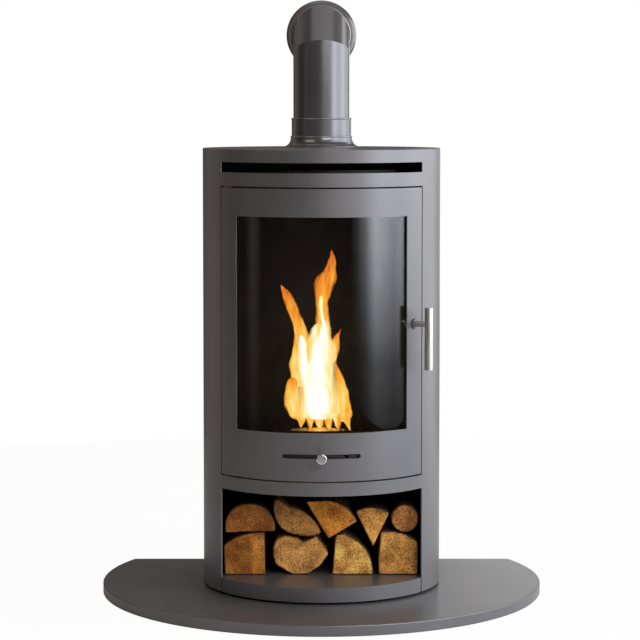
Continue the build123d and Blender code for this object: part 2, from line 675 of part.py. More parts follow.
def pipe():
    spigot_outer = PIPE_INNER - PIPE_FIT
    spigot = disc(spigot_outer, TOP_Z, TOP_Z + SPIGOT_HEIGHT, 0, PIPE_Y)
    spigot += disc(SPIGOT_FLANGE, TOP_Z, TOP_Z + SHEET, 0, PIPE_Y)
    spigot -= disc(spigot_outer - PIPE_WALL, TOP_Z, TOP_Z + SPIGOT_HEIGHT, 0, PIPE_Y)
    save(spigot, "pipe_spigot")

    flange_clear = SPIGOT_FLANGE + 2.0
    base = turned(
        [
            (flange_clear, 0.0), (BASE_RING_RADIUS, 0.0), (BASE_RING_RADIUS, 1.5),
            (BASE_RING_RADIUS - 3.2, 3.2), (BASE_RING_RADIUS - 5.8, 5.6),
            (BASE_RING_RADIUS - 7.8, 9.0), (BASE_RING_RADIUS - 9.0, 13.0),
            (BASE_RING_TOP, BASE_RING_HEIGHT), (PIPE_RADIUS + PIPE_FIT, BASE_RING_HEIGHT),
            (PIPE_RADIUS + PIPE_FIT, 6.0), (flange_clear, 3.0),
        ],
        0, PIPE_Y, TOP_Z,
    )
    save(base, "pipe_base_ring")

    collar_z0 = TOP_Z + BASE_RING_HEIGHT
    collar_z1 = TOP_Z + COLLAR_TOP
    collar = disc(PIPE_COLLAR_RADIUS, collar_z0, collar_z1, 0, PIPE_Y)
    collar = fillet(collar.edges().group_by(Axis.Z)[-1], 1.0)
    collar -= disc(PIPE_RADIUS + PIPE_FIT, collar_z0, collar_z1, 0, PIPE_Y)
    save(collar, "pipe_collar")

    bend = Vector(0, PIPE_Y, PIPE_BEND_Z)
    rise = PIPE_OUT_Z - PIPE_BEND_Z
    turn = Vector(0, PIPE_Y + rise, PIPE_OUT_Z)
    slope = Vector(0, 1, 1).normalized()
    first_cut = Plane(origin=bend, z_dir=(0, tan(radians(22.5)), 1))
    second_cut = Plane(origin=turn, z_dir=(0, 1, tan(radians(22.5))))
    reach = 2 * PIPE_RADIUS

    def tube(start, direction, length):
        place = Plane(origin=start, z_dir=direction)
        return place * (
            Cylinder(PIPE_RADIUS, length, align=UP) - Cylinder(PIPE_INNER, length, align=UP)
        )

    straight_z0 = TOP_Z + SHEET
    straight = tube((0, PIPE_Y, straight_z0), (0, 0, 1), PIPE_BEND_Z - straight_z0 + reach)
    straight = split(straight, bisect_by=first_cut, keep=Keep.BOTTOM)
    save(straight, "straight_pipe")

    middle = tube(bend - slope * reach, slope, (turn - bend).length + 2 * reach)
    middle = split(middle, bisect_by=first_cut, keep=Keep.TOP)
    middle = split(middle, bisect_by=second_cut, keep=Keep.BOTTOM)
    save(middle, "elbow_segment")

    outlet = tube(turn - Vector(0, reach, 0), (0, 1, 0), reach + WALL_Y - 1.0 - turn.Y)
    outlet = split(outlet, bisect_by=second_cut, keep=Keep.TOP)
    save(outlet, "elbow_outlet")

    wall_ring = turned(
        [
            (PIPE_RADIUS + PIPE_FIT, 0.0), (WALL_RING_RADIUS, 0.0), (WALL_RING_RADIUS, 1.5),
            (WALL_RING_RADIUS - 2.6, 4.0), (WALL_RING_RADIUS - 5.0, 8.0),
            (WALL_RING_RADIUS - 7.0, 13.0), (WALL_RING_RADIUS - 8.0, WALL_RING_DEPTH),
            (PIPE_RADIUS + PIPE_FIT, WALL_RING_DEPTH),
        ],
        0, WALL_Y, PIPE_OUT_Z, (0, -1, 0),
    )
    save(wall_ring, "wall_ring")


def log(name, start, steps, front=0.0, length=LOG_LENGTH):
    """Split log along Y. A step is a point, or a middle and an end of an arc."""
    y = LOG_FRONT_Y + front

    def place(point):
        return Vector(LOG_FIT * point[0], y, TRAY_Z + point[1])

    edges = []
    here = start
    for step in steps:
        if len(step) == 2 and isinstance(step[0], tuple):
            edges.append(ThreePointArc(place(here), place(step[0]), place(step[1])))
            here = step[1]
        else:
            edges.append(Line(place(here), place(step)))
            here = step
    if here != start:
        edges.append(Line(place(here), place(start)))
    face = make_face(Curve() + edges)
    save(extrude(face, LOG_FIT * length, dir=(0, 1, 0)), name)


def logs():
    # Half-round and half-moon logs of the upper row, then the wedges
    log("log_1", (-164.0, 72.7), [(-79.5, 75.2), ((-106.0, 121.4), (-128.0, 123.6)),
                                   ((-160.0, 104.0), (-165.0, 80.0))], 0.0, 186.0)
    log("log_2", (-79.4, 129.0), [((-77.0, 90.0), (-41.3, 67.2)), ((-21.0, 64.6), (-2.0, 69.6)),
                                  (-0.6, 73.0), ((-24.0, 104.0), (-56.0, 117.5)), (-73.9, 129.0)],
        3.0, 182.0)
    log("log_3", (11.7, 61.6), [(61.6, 91.5), ((38.0, 120.0), (10.3, 129.0)), (-27.7, 127.0)], 2.0, 188.0)
    log("log_4", (88.0, 47.0), [(116.3, 106.5), ((86.0, 116.6), (57.5, 109.2))], 4.0, 184.0)
    log("log_5", (117.5, 97.0), [((142.1, 121.6), (166.7, 97.0)), ((142.1, 72.4), (117.5, 97.0))],
        1.0, 186.0)
    # Split logs of the lower row, which stand on the tray
    log("log_6", (-165.5, 0.0), [(-96.0, 0.0), (-97.0, 72.9), ((-136.0, 69.5), (-168.0, 50.7))], 0.0, 188.0)
    log("log_7", (-24.0, 0.0), [(-1.0, 16.0), (12.5, 36.0), (-10.0, 66.0), (-33.0, 55.0), (-41.0, 62.6),
                                (-63.0, 66.8), (-79.0, 60.0), ((-84.0, 36.0), (-77.0, 15.0)), (-51.0, 0.0)],
        3.0, 186.0)
    log("log_8", (18.0, 0.0), [(88.0, 0.0), ((80.0, 38.0), (57.0, 61.5)), (37.5, 71.5), (24.0, 68.0)], 2.0, 186.0)
    log("log_9", (97.0, 0.0), [(165.2, 0.0), (165.2, 57.4), ((136.0, 72.6), (101.5, 75.0)), (96.5, 30.0)],
        1.0, 188.0)


os.makedirs("parts", exist_ok=True)
hearth()
cabinet()
log_store()
firebox()
hinges()
door()
air_control()
handle()
burner()
pipe()
logs()
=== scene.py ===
"""Looks of a round bioethanol stove: paint, steel, glass, split logs, flame and stage."""
import math

import bmesh
import bpy
from mathutils import Matrix, Vector, kdtree, noise


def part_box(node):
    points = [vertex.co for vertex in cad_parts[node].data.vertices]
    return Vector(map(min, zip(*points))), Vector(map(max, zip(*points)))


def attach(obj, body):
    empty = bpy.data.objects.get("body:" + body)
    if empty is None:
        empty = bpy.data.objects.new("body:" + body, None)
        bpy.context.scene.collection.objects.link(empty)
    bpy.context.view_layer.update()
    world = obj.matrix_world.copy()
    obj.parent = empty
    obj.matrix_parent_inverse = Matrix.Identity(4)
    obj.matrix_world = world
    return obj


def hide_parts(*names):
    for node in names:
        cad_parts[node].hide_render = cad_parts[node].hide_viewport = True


bl_info = {
    "name": "Bioethanol stove looks",
    "version": (1, 0, 0),
    "blender": (4, 5, 0),
    "location": "View3D > Sidebar > Stove",
    "description": "Finishes, logs, flame and stage for a round bioethanol stove",
    "category": "Object",
}

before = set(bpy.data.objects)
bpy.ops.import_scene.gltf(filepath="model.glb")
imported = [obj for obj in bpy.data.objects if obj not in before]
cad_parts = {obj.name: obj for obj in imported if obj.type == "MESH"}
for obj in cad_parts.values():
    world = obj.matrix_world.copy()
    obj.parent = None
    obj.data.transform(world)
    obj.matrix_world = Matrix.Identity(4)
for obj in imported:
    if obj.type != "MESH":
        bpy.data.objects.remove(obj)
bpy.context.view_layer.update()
MM = 0.001

# View of the photograph, in metres, on a frame of 640 by 640
IMAGE_WIDTH = 640
FOCAL_PIXELS = 2307.7
SENSOR_WIDTH = 36.0
CAMERA_PLACE = (-0.0026, -3.99, 0.84)
CAMERA_PITCH = math.radians(3.756)
SHIFT_PIXELS = -59.5

# CAD nodes by their finish, and how much lighter or darker than the paint some pieces are
PAINTED = [
    "hearth_plate", "side_panel_right", "side_panel_left", "vent_fascia", "log_store_lintel", "back_panel",
    "top_plate", "log_tray", "door_skin", "handle_collar",
]
PIPE = ["pipe_base_ring", "pipe_collar", "straight_pipe", "elbow_segment", "elbow_outlet", "wall_ring"]
INNER_BLACK = [
    "base_plate", "tray_posts", "log_store_ceiling", "log_store_back", "firebox_floor", "firebox_liner",
    "firebox_ceiling", "vent_deflector", "top_heat_shield", "heat_shield_spacers", "hinge_brackets",
    "latch_keeper", "pipe_spigot", "door_inner_frame", "glass_clips",
]
# Darker copy of the matt black paint on the air shutter and its rails: painted shade seen through the
# door's slot
SHUTTER_PAINTED_SHADE = ["shutter_rails", "air_shutter"]
BRUSHED = [
    "back_panel_screws", "hinge_pins", "glass_clip_screws", "handle_bar", "handle_spindle", "latch_tongue",
    "spindle_nut",
]
POLISHED = ["knob_stem", "slider_knob"]
HEAT_TINTED = ["burner_tray", "burner_box", "burner_top", "burner_lid"]
PIPE_TONE = 0.85
# The beads get a lighter copy of the stove paint: a painted highlight along the rims of the pipe's collar
# and wall ring
BEAD_HIGHLIGHT_TONE = 1.5

# Rolled beads of the pipe's collar and wall ring: radius of each section and how it sits, in metres
TOP_BEAD = 0.0015
TOP_BEAD_DROP = 0.0014
FOOT_BEAD = 0.0017
FOOT_BEAD_RISE = 0.001
WALL_BEAD = 0.0017
WALL_BEAD_GAP = 0.0016
BEAD_OFFSET = 0.0004
BEAD_SIDES = 14
BEAD_STEPS = 96

# Side of each log that carries bark, as a direction across its length
BARK_SIDES = {
    "log_1": (0.0, 1.0), "log_2": (-0.3, -1.0), "log_3": (0.5, 0.9), "log_4": (0.0, 1.0),
    "log_5": None, "log_6": (-0.5, 0.9), "log_7": (-1.0, -0.2), "log_8": (0.8, 0.7), "log_9": (0.5, 0.9),
}
LOG_TONES = {
    "log_1": (0.38, 0.135, 0.028), "log_2": (0.45, 0.205, 0.055), "log_3": (0.80, 0.28, 0.040),
    "log_4": (0.66, 0.30, 0.070), "log_5": (0.46, 0.19, 0.055), "log_6": (0.48, 0.185, 0.032),
    "log_7": (0.54, 0.26, 0.072), "log_8": (0.84, 0.42, 0.100), "log_9": (0.63, 0.29, 0.070),
}
BARK_RIM_COLOUR = (0.09, 0.048, 0.024)

# Noises that dent a log: share, fineness per millimetre, and how it is drawn out along the log
DENTS = {
    "end_grain": [(0.35, 0.45, 1.0), (0.3, 0.12, 1.0)],
    "bark": [(0.8, 0.16, 0.25), (0.4, 0.5, 0.25)],
    "split": [(0.7, 0.3, 0.06), (0.3, 0.06, 1.0)],
}
DENT_MEAN = 0.55
DENT_SPREAD = 0.6
LOG_SEED_STEP = 7.3
MERGE_DISTANCE = 1e-6

# How near a log's end, in facets, and how squarely a facet faces the end or the bark's side
END_REACH = 1.2
END_FACING = 0.6
BARK_FACING = 0.35

# Dark rim of the wood beside the bark, in metres
RIM_WIDTH = 0.0026
RIM_WOBBLE = 0.0012
RIM_FINENESS = 260

# Place of the flame over the burner's mouth, in metres, and its foot, in millimetres
MOUTH_Y = -0.019
FLAME_FOOT = 281.0
FLAME_FOOT_FADE = 16.0

# Tongues of flame as stations of side offset, height and half width, in millimetres
OUTER_TONGUES = {
    "flame_base": [(-4, 284.2, 40), (-4, 285, 50), (-4, 286.5, 48), (-4, 288, 34), (-4, 290, 0.6)],
    "flame_body": [
        (-3, 303, 22), (-3, 311, 38), (-4, 322, 50), (-5, 345, 46), (-6, 370, 38), (-6, 395, 33),
        (-5, 420, 31), (-4, 440, 27), (0, 462, 17), (4, 485, 0.6),
    ],
    "flame_right": [
        (2, 380, 14), (3, 420, 14), (3, 450, 13), (1, 480, 11), (1, 505, 11), (3, 525, 15),
        (5, 541, 19), (8, 551, 18), (13, 560, 12), (17, 574, 8), (18, 586, 4.5), (16.5, 598, 0.6),
    ],
    "flame_left": [
        (-26, 380, 15), (-30, 425, 14), (-34, 452, 14), (-42, 475, 12), (-50, 496, 10.5),
        (-57, 513, 9.5), (-61, 522, 9), (-66, 530, 5), (-71, 537, 0.6),
    ],
    "flame_left_middle": [
        (-38, 360, 7), (-44, 378, 10), (-47, 400, 9), (-46, 425, 7), (-43, 445, 4), (-44, 458, 0.6),
    ],
    "flame_left_lobe": [
        (-36, 301, 7), (-43, 313, 13), (-50, 330, 15), (-53, 350, 14), (-50, 368, 12), (-43, 382, 6),
        (-40, 392, 0.6),
    ],
    "flame_spike": [(18, 400, 8), (22, 425, 9), (25, 440, 7), (29, 452, 4), (33, 462, 0.6)],
    "flame_right_lobe": [
        (36, 305, 10), (40, 325, 13), (38, 345, 10), (33, 365, 8), (28, 385, 7), (24, 405, 0.6),
    ],
    "flame_right_low": [(38, 299, 7), (42, 308, 10), (44, 318, 9), (42, 332, 5), (40, 342, 0.6)],
}
CORE_TONGUES = {
    "flame_core": [
        (-8, 303, 16), (-9, 325, 27), (-8, 350, 28), (-8, 380, 27), (-7, 405, 25), (-3, 430, 20),
        (2, 450, 13), (4, 470, 7), (4, 490, 0.6),
    ],
    "flame_core_left": [(-28, 370, 12), (-30, 400, 14), (-31, 425, 12), (-33, 445, 8), (-37, 470, 0.6)],
}
STRANDS = {
    "flame_strand_right": [(2, 440, 5), (0, 480, 6), (-1, 510, 6), (2, 535, 6), (6, 556, 0.6)],
    "flame_strand_left": [(-36, 425, 5), (-42, 455, 5), (-49, 480, 4), (-56, 503, 3), (-62, 522, 0.6)],
}
FOOT_TONGUES = {
    "flame_foot_1": [(-37, 289, 1.5), (-36, 296, 5), (-34, 305, 9), (-31, 317, 10), (-28, 342, 0.6)],
    "flame_foot_2": [(-20, 284.2, 1.5), (-20, 293, 5), (-19, 304, 9), (-18, 316, 11), (-17, 344, 0.6)],
    "flame_foot_3": [(-3, 284.2, 2.5), (-3, 292, 6.5), (-4, 303, 9), (-4, 316, 11), (-5, 346, 0.6)],
    "flame_foot_4": [(13, 285, 1.5), (13, 294, 5), (12, 304, 8), (11, 315, 10), (10, 342, 0.6)],
    "flame_foot_5": [(31, 284.2, 1.5), (29, 292, 4.5), (27, 303, 8), (24, 315, 9), (21, 338, 0.6)],
    "flame_foot_6": [(50, 284.2, 1.5), (47, 292, 4), (43, 301, 7), (39, 311, 8), (35, 328, 0.6)],
}
TONGUE_SIDES = 28
TONGUE_SMOOTHING = 2

# How far the draught moves the flame, in metres, and how fine the sway is up its height
RIPPLE = 0.0032
RIPPLE_DEPTH = 0.0030
FLUTTER = 0.0018
SWAY = 0.0016
SWAY_FINENESS = 0.02

# Depth of a tongue as a share of its width
BASE_DEPTH = 0.25
OUTER_DEPTH = 0.42
CORE_DEPTH = 0.95
FOOT_DEPTH = 0.9

# Heat of a tongue at its foot and at its tip, and the colours of burning gas from cool to hot
OUTER_HEAT = (0.62, 0.1)
BODY_HEAT = (0.8, 0.75)
CORE_HEAT = (1.25, 0.95)
STRAND_HEAT = (0.9, 0.55)
FOOT_HEAT = (0.5, 1.0)
SIDE_COOLING = 0.3
CORE_BRIGHTNESS = 1.2
FLAME_COLOURS = [
    (0.0, (0.42, 0.07, 0.008, 1)), (1.0, (1.0, 0.96, 0.82, 1)), (0.2, (0.75, 0.2, 0.02, 1)),
    (0.42, (0.96, 0.38, 0.035, 1)), (0.62, (1.0, 0.58, 0.1, 1)), (0.82, (1.0, 0.8, 0.34, 1)),
]

# Floor disc, in metres, and how much of it the camera sees as plain white
FLOOR_RADIUS = 1.9
FLOOR_SIDES = 96
FLOOR_DROP = 0.0005
FLOOR_WHITE = 0.96

# Brightness of the soft lights from edge to edge, as place and share
KEY_FADE = [(0.0, 0.0), (1.0, 0.9), (0.1, 0.06), (0.21, 0.28), (0.335, 1.0), (0.44, 0.78), (0.55, 0.55)]
FILL_FADE = [(0.0, 0.0), (1.0, 0.0), (0.5, 1.0)]
FADE_UP = [(0.0, 0.05), (1.0, 0.8), (0.08, 0.13), (0.22, 0.68), (0.35, 1.0)]

# Room round the stove, from in front of it to behind it
ROOM_COLOURS = [(0.1, (0.05, 0.046, 0.043, 1)), (0.62, (1, 0.85, 0.74, 1)), (0.9, (0.24, 0.22, 0.205, 1))]


class Maths:
    """An output socket that takes part in Python expressions."""

    def __init__(self, nodes, socket):
        self.nodes = nodes
        self.socket = socket

    def join(self, operation, first, second):
        made = self.nodes.node("ShaderNodeMath", {"operation": operation}, {0: first, 1: second})
        return Maths(self.nodes, made.outputs[0])

    def __add__(self, other):
        return self.join("ADD", self, other)

    def __radd__(self, other):
        return self.join("ADD", other, self)

    def __sub__(self, other):
        return self.join("SUBTRACT", self, other)

    def __rsub__(self, other):
        return self.join("SUBTRACT", other, self)

    def __mul__(self, other):
        return self.join("MULTIPLY", self, other)

    def __rmul__(self, other):
        return self.join("MULTIPLY", other, self)


class Nodes:
    """The node tree of a material, a light or the world, with short ways to add nodes."""

    def __init__(self, tree):
        self.tree = tree

    def node(self, kind, settings=None, inputs=None):
        """Add a node of a kind, with its settings first and then the values or links of its sockets."""
        made = self.tree.nodes.new(kind)
        for key, value in (settings or {}).items():
            if key == "stops":
                set_stops(made.color_ramp, value)
            else:
                setattr(made, key, value)
        for key, value in (inputs or {}).items():
            self.feed(made.inputs[key], value)
        return made

    def feed(self, socket, value):
        """Link a socket to an output, or set it to a plain value."""
        if isinstance(value, Maths):
            value = value.socket
        if isinstance(value, bpy.types.NodeSocket):
            self.tree.links.new(value, socket)
        else:
            socket.default_value = value

    def ramp(self, value, stops):
        return self.node("ShaderNodeValToRGB", {"stops": stops}, {0: value}).outputs[0]

    def show_camera(self, end, usual, seen, share):
        """Show one shader to the camera, by a share, and another to everything else."""
        path = self.node("ShaderNodeLightPath")
        to_camera = Maths(self, path.outputs["Is Camera Ray"]) * share
        both = self.node("ShaderNodeMixShader", None, {0: to_camera, 1: usual, 2: seen})
        self.feed(self.tree.nodes[end].inputs["Surface"], both.outputs[0])


class Shader(Nodes):
    """A material with one Principled shader."""

    def __init__(self, name):
        self.material = bpy.data.materials.new(name)
        self.material.use_nodes = True
        super().__init__(self.material.node_tree)
        self.main = self.tree.nodes["Principled BSDF"]

    def noise(self, scale, detail=3.0, stretch=(1, 1, 1), roughness=0.5):
        """Noise on Object coordinates, which are stretched first."""
        where = self.node("ShaderNodeTexCoord").outputs["Object"]
        stretched = self.node("ShaderNodeMapping", None, {"Vector": where, "Scale": stretch}).outputs[0]
        made = self.node("ShaderNodeTexNoise", None, {
            "Vector": stretched, "Scale": scale, "Detail": detail, "Roughness": roughness,
        })
        return Maths(self, made.outputs[0])

    def attribute(self, name):
        made = self.node("ShaderNodeAttribute", {"attribute_name": name})
        return Maths(self, made.outputs["Fac"])

    def shade(self, value, dark, light, start=0.3, end=0.7):
        """Colour that goes from dark to light while a value rises from start to end."""
        return self.ramp(value, [(start, rgba(dark)), (end, rgba(light))])

    def blend(self, value, first, second):
        return self.node("ShaderNodeMix", {"data_type": "RGBA"}, {0: value, 6: first, 7: second}).outputs[2]

    def bump(self, height, strength, distance):
        made = self.node("ShaderNodeBump", None, {
            "Height": height, "Strength": strength, "Distance": distance,
        })
        self.set(Normal=made.outputs[0])

    def set(self, **values):
        """Feed the Principled shader's sockets, named with an underscore for each space."""
        for key, value in values.items():
            self.feed(self.main.inputs[key.replace("_", " ")], value)


def set_stops(ramp, stops):
    """Give a colour ramp its stops, of which it starts with two."""
    for element, (place, colour) in zip(ramp.elements, stops):
        element.position = place
        element.color = colour
    for place, colour in stops[2:]:
        ramp.elements.new(place).color = colour


def rgba(colour):
    return (*colour[:3], 1.0)


def scaled(colour, factor):
    return tuple(min(1.0, c * factor) for c in colour[:3])


def clamped(value):
    return min(1.0, max(0.0, value))


def stove_paint(name, colour, roughness):
    """Metallic stove paint: fine sparkle, faint orange peel and slight handling marks."""
    made = Shader(name)
    sparkle = made.noise(scale=2600.0, detail=1.0)
    cloud = made.noise(scale=7.0)
    handling = made.noise(scale=14.0, detail=4.0)
    made.set(
        Base_Color=made.shade(sparkle * 0.5 + cloud * 0.5, scaled(colour, 0.86), scaled(colour, 1.14)),
        Metallic=0.6,
        Roughness=handling * 0.06 + roughness,
    )
    made.bump(made.noise(scale=900.0, detail=2.0), strength=0.06, distance=0.0004)
    return made.material


def inner_paint(name, black, brown):
    """Matt black heat-proof paint, with brownish soot marks."""
    made = Shader(name)
    soot = made.noise(scale=18.0, detail=5.0)
    made.set(
        Base_Color=made.shade(soot, black, brown, start=0.35, end=0.75),
        Roughness=made.noise(scale=45.0) * 0.2 + 0.55,
    )
    made.bump(made.noise(scale=420.0), strength=0.15, distance=0.0004)
    return made.material


def brushed_steel():
    """Stainless steel with fine brush lines along its length."""
    made = Shader("brushed_stainless")
    lines = made.noise(scale=900.0, detail=2.0, stretch=(1, 1, 0.03))
    made.set(
        Base_Color=made.shade(lines, (0.60, 0.565, 0.53), (0.76, 0.725, 0.69)),
        Metallic=1.0,
        Roughness=lines * 0.14 + 0.27,
    )
    made.bump(lines, strength=0.03, distance=0.0001)
    return made.material


def polished_steel():
    """Turned and polished steel, with faint turning rings."""
    made = Shader("polished_steel")
    rings = made.noise(scale=500.0, detail=2.0, stretch=(1, 0.2, 1))
    made.set(
        Base_Color=made.shade(rings, (0.70, 0.69, 0.66), (0.80, 0.79, 0.76)),
        Metallic=1.0,
        Roughness=rings * 0.08 + 0.08,
    )
    made.bump(rings, strength=0.04, distance=0.0002)
    return made.material


def heat_tinted_steel():
    """Stainless steel that the flame has turned brown and blue."""
    made = Shader("heat_tinted_steel")
    tint = made.noise(scale=16.0)
    made.set(
        Base_Color=made.ramp(tint, [
            (0.3, (0.14, 0.075, 0.045, 1)), (0.7, (0.20, 0.11, 0.10, 1)), (0.5, (0.24, 0.13, 0.07, 1)),
        ]),
        Metallic=1.0,
        Roughness=made.noise(scale=120.0) * 0.2 + 0.2,
    )
    return made.material


def turned_brass():
    """Brass with turning rings round its height."""
    made = Shader("turned_brass")
    rings = made.noise(scale=600.0, detail=2.0, stretch=(0.1, 0.1, 1))
    made.set(
        Base_Color=made.shade(rings, (0.50, 0.34, 0.13), (0.62, 0.45, 0.2)),
        Metallic=1.0,
        Roughness=rings * 0.15 + 0.25,
    )
    return made.material


def window_glass():
    """Clear ceramic glass, smoked by a trace of grey."""
    made = Shader("ceramic_glass")
    haze = made.noise(scale=6.0, detail=4.0)
    made.set(Base_Color=(0.9, 0.905, 0.91, 1), Roughness=haze * 0.03, IOR=1.5, Transmission_Weight=1.0)
    return made.material


def woven_tape():
    """Black woven glass tape."""
    made = Shader("woven_glass_tape")
    weave = made.noise(scale=900.0, detail=2.0)
    made.set(Base_Color=made.shade(weave, (0.02, 0.02, 0.02), (0.08, 0.08, 0.08)), Roughness=0.9)
    made.bump(made.noise(scale=700.0, detail=1.0), strength=0.5, distance=0.0006)
    return made.material


def ceramic_wool():
    """Pale loose wool that holds the fuel."""
    made = Shader("ceramic_wool")
    tufts = made.noise(scale=300.0, detail=4.0)
    made.set(Base_Color=made.shade(tufts, (0.5, 0.47, 0.42), (0.85, 0.82, 0.77)), Roughness=0.95)
    made.bump(made.noise(scale=260.0, detail=5.0), strength=0.8, distance=0.002)
    return made.material


def black_rubber():
    """Black rubber of the foot pads."""
    made = Shader("pad_rubber")
    grain = made.noise(scale=200.0)
    made.set(Base_Color=made.shade(grain, (0.015, 0.015, 0.015), (0.03, 0.03, 0.03)), Roughness=0.8)
    made.bump(made.noise(scale=500.0), strength=0.2, distance=0.0003)
    return made.material


def split_wood(name, tone):
    """Sawn end grain, split grain along the log, and bark, each by its own attribute."""
    made = Shader(f"{name}_wood")
    fibres = made.noise(scale=420.0, detail=4.0, stretch=(1, 0.08, 1), roughness=0.7)
    pores = made.noise(scale=480.0, detail=4.0, roughness=0.75)
    patches = made.noise(scale=38.0, detail=4.0)
    ridges = made.noise(scale=120.0, detail=6.0, stretch=(1, 0.35, 1), roughness=0.7)
    dark = (tone[0] * 0.42, tone[1] * 0.32, tone[2] * 0.22)
    sawn = made.ramp(pores * 0.62 + patches * 0.38, [
        (0.43, rgba(dark)), (0.57, rgba(scaled(tone, 1.65))),
        (0.475, rgba(scaled(tone, 0.7))), (0.52, rgba(tone)),
    ])
    split_side = made.shade(fibres, scaled(tone, 0.55), scaled(tone, 1.25), start=0.34, end=0.68)
    bark = made.shade(ridges, (0.025, 0.015, 0.009), (0.16, 0.095, 0.055), start=0.35)
    wood = made.blend(made.attribute("end_grain"), split_side, sawn)
    wood = made.blend(made.attribute("bark_rim"), wood, rgba(BARK_RIM_COLOUR))
    made.set(
        Base_Color=made.blend(made.attribute("bark"), wood, bark),
        Roughness=pores * 0.15 + 0.72,
        Specular_IOR_Level=0.2,
    )
    made.bump(pores * 0.6 + fibres * 0.4, strength=0.7, distance=0.0015)
    return made.material


def flame_shader(name, strength, solid):
    """Burning gas: colour follows the warmth, licked upwards, and thins out at the edge."""
    made = Shader(name)
    lick = made.noise(scale=95.0, detail=4.0, stretch=(1, 1, 0.16), roughness=0.6)
    curl = made.noise(scale=30.0, detail=2.0, stretch=(1, 1, 0.5))
    heat = made.attribute("warmth") + lick * 1.1 + curl * 0.5 - 0.8
    cover = made.attribute("middle") * solid + lick * 1.2 - 0.65
    made.set(
        Base_Color=(0, 0, 0, 1),
        Roughness=1.0,
        Specular_IOR_Level=0.0,
        Emission_Color=made.ramp(heat, FLAME_COLOURS),
        Emission_Strength=strength,
        Alpha=made.shade(cover, (0, 0, 0), (1, 1, 1), start=0.0, end=0.8),
    )
    return made.material


def floor_paint():
    """Pale floor that is seen as white and keeps the stove's shadow."""
    made = Shader("pale_floor")
    made.set(
        Base_Color=made.shade(made.noise(scale=3.0), (0.78, 0.78, 0.78), (0.82, 0.82, 0.82)),
        Roughness=0.9,
    )
    glow = made.node("ShaderNodeEmission", None, {"Color": (1, 1, 1, 1), "Strength": 1.0})
    made.show_camera("Material Output", made.main.outputs[0], glow.outputs[0], FLOOR_WHITE)
    return made.material


def give(nodes, material):
    """Put a material on CAD nodes."""
    for node in nodes:
        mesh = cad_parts[node].data
        if not mesh.materials:
            mesh.materials.append(material)
        for index in range(len(mesh.materials)):
            mesh.materials[index] = material


def smooth_faces(mesh):
    for face in mesh.polygons:
        face.use_smooth = True


def placed(name, bm, material):
    """Turn a bmesh into an object of the scene."""
    mesh = bpy.data.meshes.new(name)
    bm.to_mesh(mesh)
    bm.free()
    mesh.materials.append(material)
    made = bpy.data.objects.new(name, mesh)
    bpy.context.scene.collection.objects.link(made)
    return made


def finished(name, bm, material, body):
    """Turn a bmesh into a smooth piece that rides on a body, with a slot where it can be recoloured."""
    piece = placed(name, bm, material)
    smooth_faces(piece.data)
    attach(piece, body)
    return piece


def apply_modifiers(piece):
    """Replace a piece's mesh with its modified one."""
    graph = bpy.context.evaluated_depsgraph_get()
    mesh = bpy.data.meshes.new_from_object(piece.evaluated_get(graph))
    piece.modifiers.clear()
    piece.data = mesh
    smooth_faces(mesh)


def write_attribute(mesh, name, values):
    layer = mesh.attributes.new(name, "FLOAT", "POINT")
    layer.data.foreach_set("value", [float(value) for value in values])


def light_power(name, place, default):
    """Setting for the power of a light."""
    return bpy.props.FloatProperty(
        name=name, description=f"Power of the {place}", default=default, unit="POWER",
    )


class StoveSettings(bpy.types.PropertyGroup):
    paint: bpy.props.FloatVectorProperty(
        name="Paint", description="Colour of the stove paint", subtype="COLOR",
        size=3, default=(0.164, 0.159, 0.164), min=0.0, max=1.0,
    )
    log_voxel: bpy.props.FloatProperty(
        name="Log detail", description="Size of the facets that the logs are carved from",
        default=0.0023, unit="LENGTH",
    )
    log_rough: bpy.props.FloatProperty(
        name="Log roughness", description="Depth of the dents in the logs", default=0.0016, unit="LENGTH",
    )
    flame_strength: bpy.props.FloatProperty(
        name="Flame", description="Brightness of the flame", default=1.25,
    )
    key_power: light_power("Key light", "large soft light on the right", 235.0)
    fill_power: light_power("Fill light", "strip light on the left", 1.6)
    rim_power: light_power("Rim light", "light behind on the right", 19.0)
    left_power: light_power("Left light", "light high on the left", 15.0)
    back_power: light_power("Back light", "light low behind on the right", 4.5)
    front_power: light_power("Front light", "light high in front", 29.0)
    top_power: light_power("Top light", "light overhead", 12.0)
    surround: bpy.props.FloatProperty(
        name="Surround", description="Brightness of the room round the stove", default=0.46,
    )


class STOVE_OT_cabinet(bpy.types.Operator):
    """Paint the cabinet, hearth plate, door and pipe, and blacken what is inside"""
    bl_idname = "stove.cabinet"
    bl_label = "Paint cabinet"

    def execute(self, context):
        colour = context.scene.stove.paint
        give(PAINTED, stove_paint("satin_stove_paint", colour, roughness=0.37))
        give(PIPE, stove_paint("glossy_pipe_paint", scaled(colour, PIPE_TONE), roughness=0.22))
        give(INNER_BLACK, inner_paint("matt_black_paint", (0.008, 0.006, 0.005), (0.034, 0.022, 0.016)))
        # Painted shade: the shutter behind the door's slot gets a near-black copy of the inner paint
        give(SHUTTER_PAINTED_SHADE, inner_paint("deep_black_paint", (0.003, 0.003, 0.003), (0.006, 0.005, 0.005)))
        give(["foot_pads"], black_rubber())
        return {"FINISHED"}


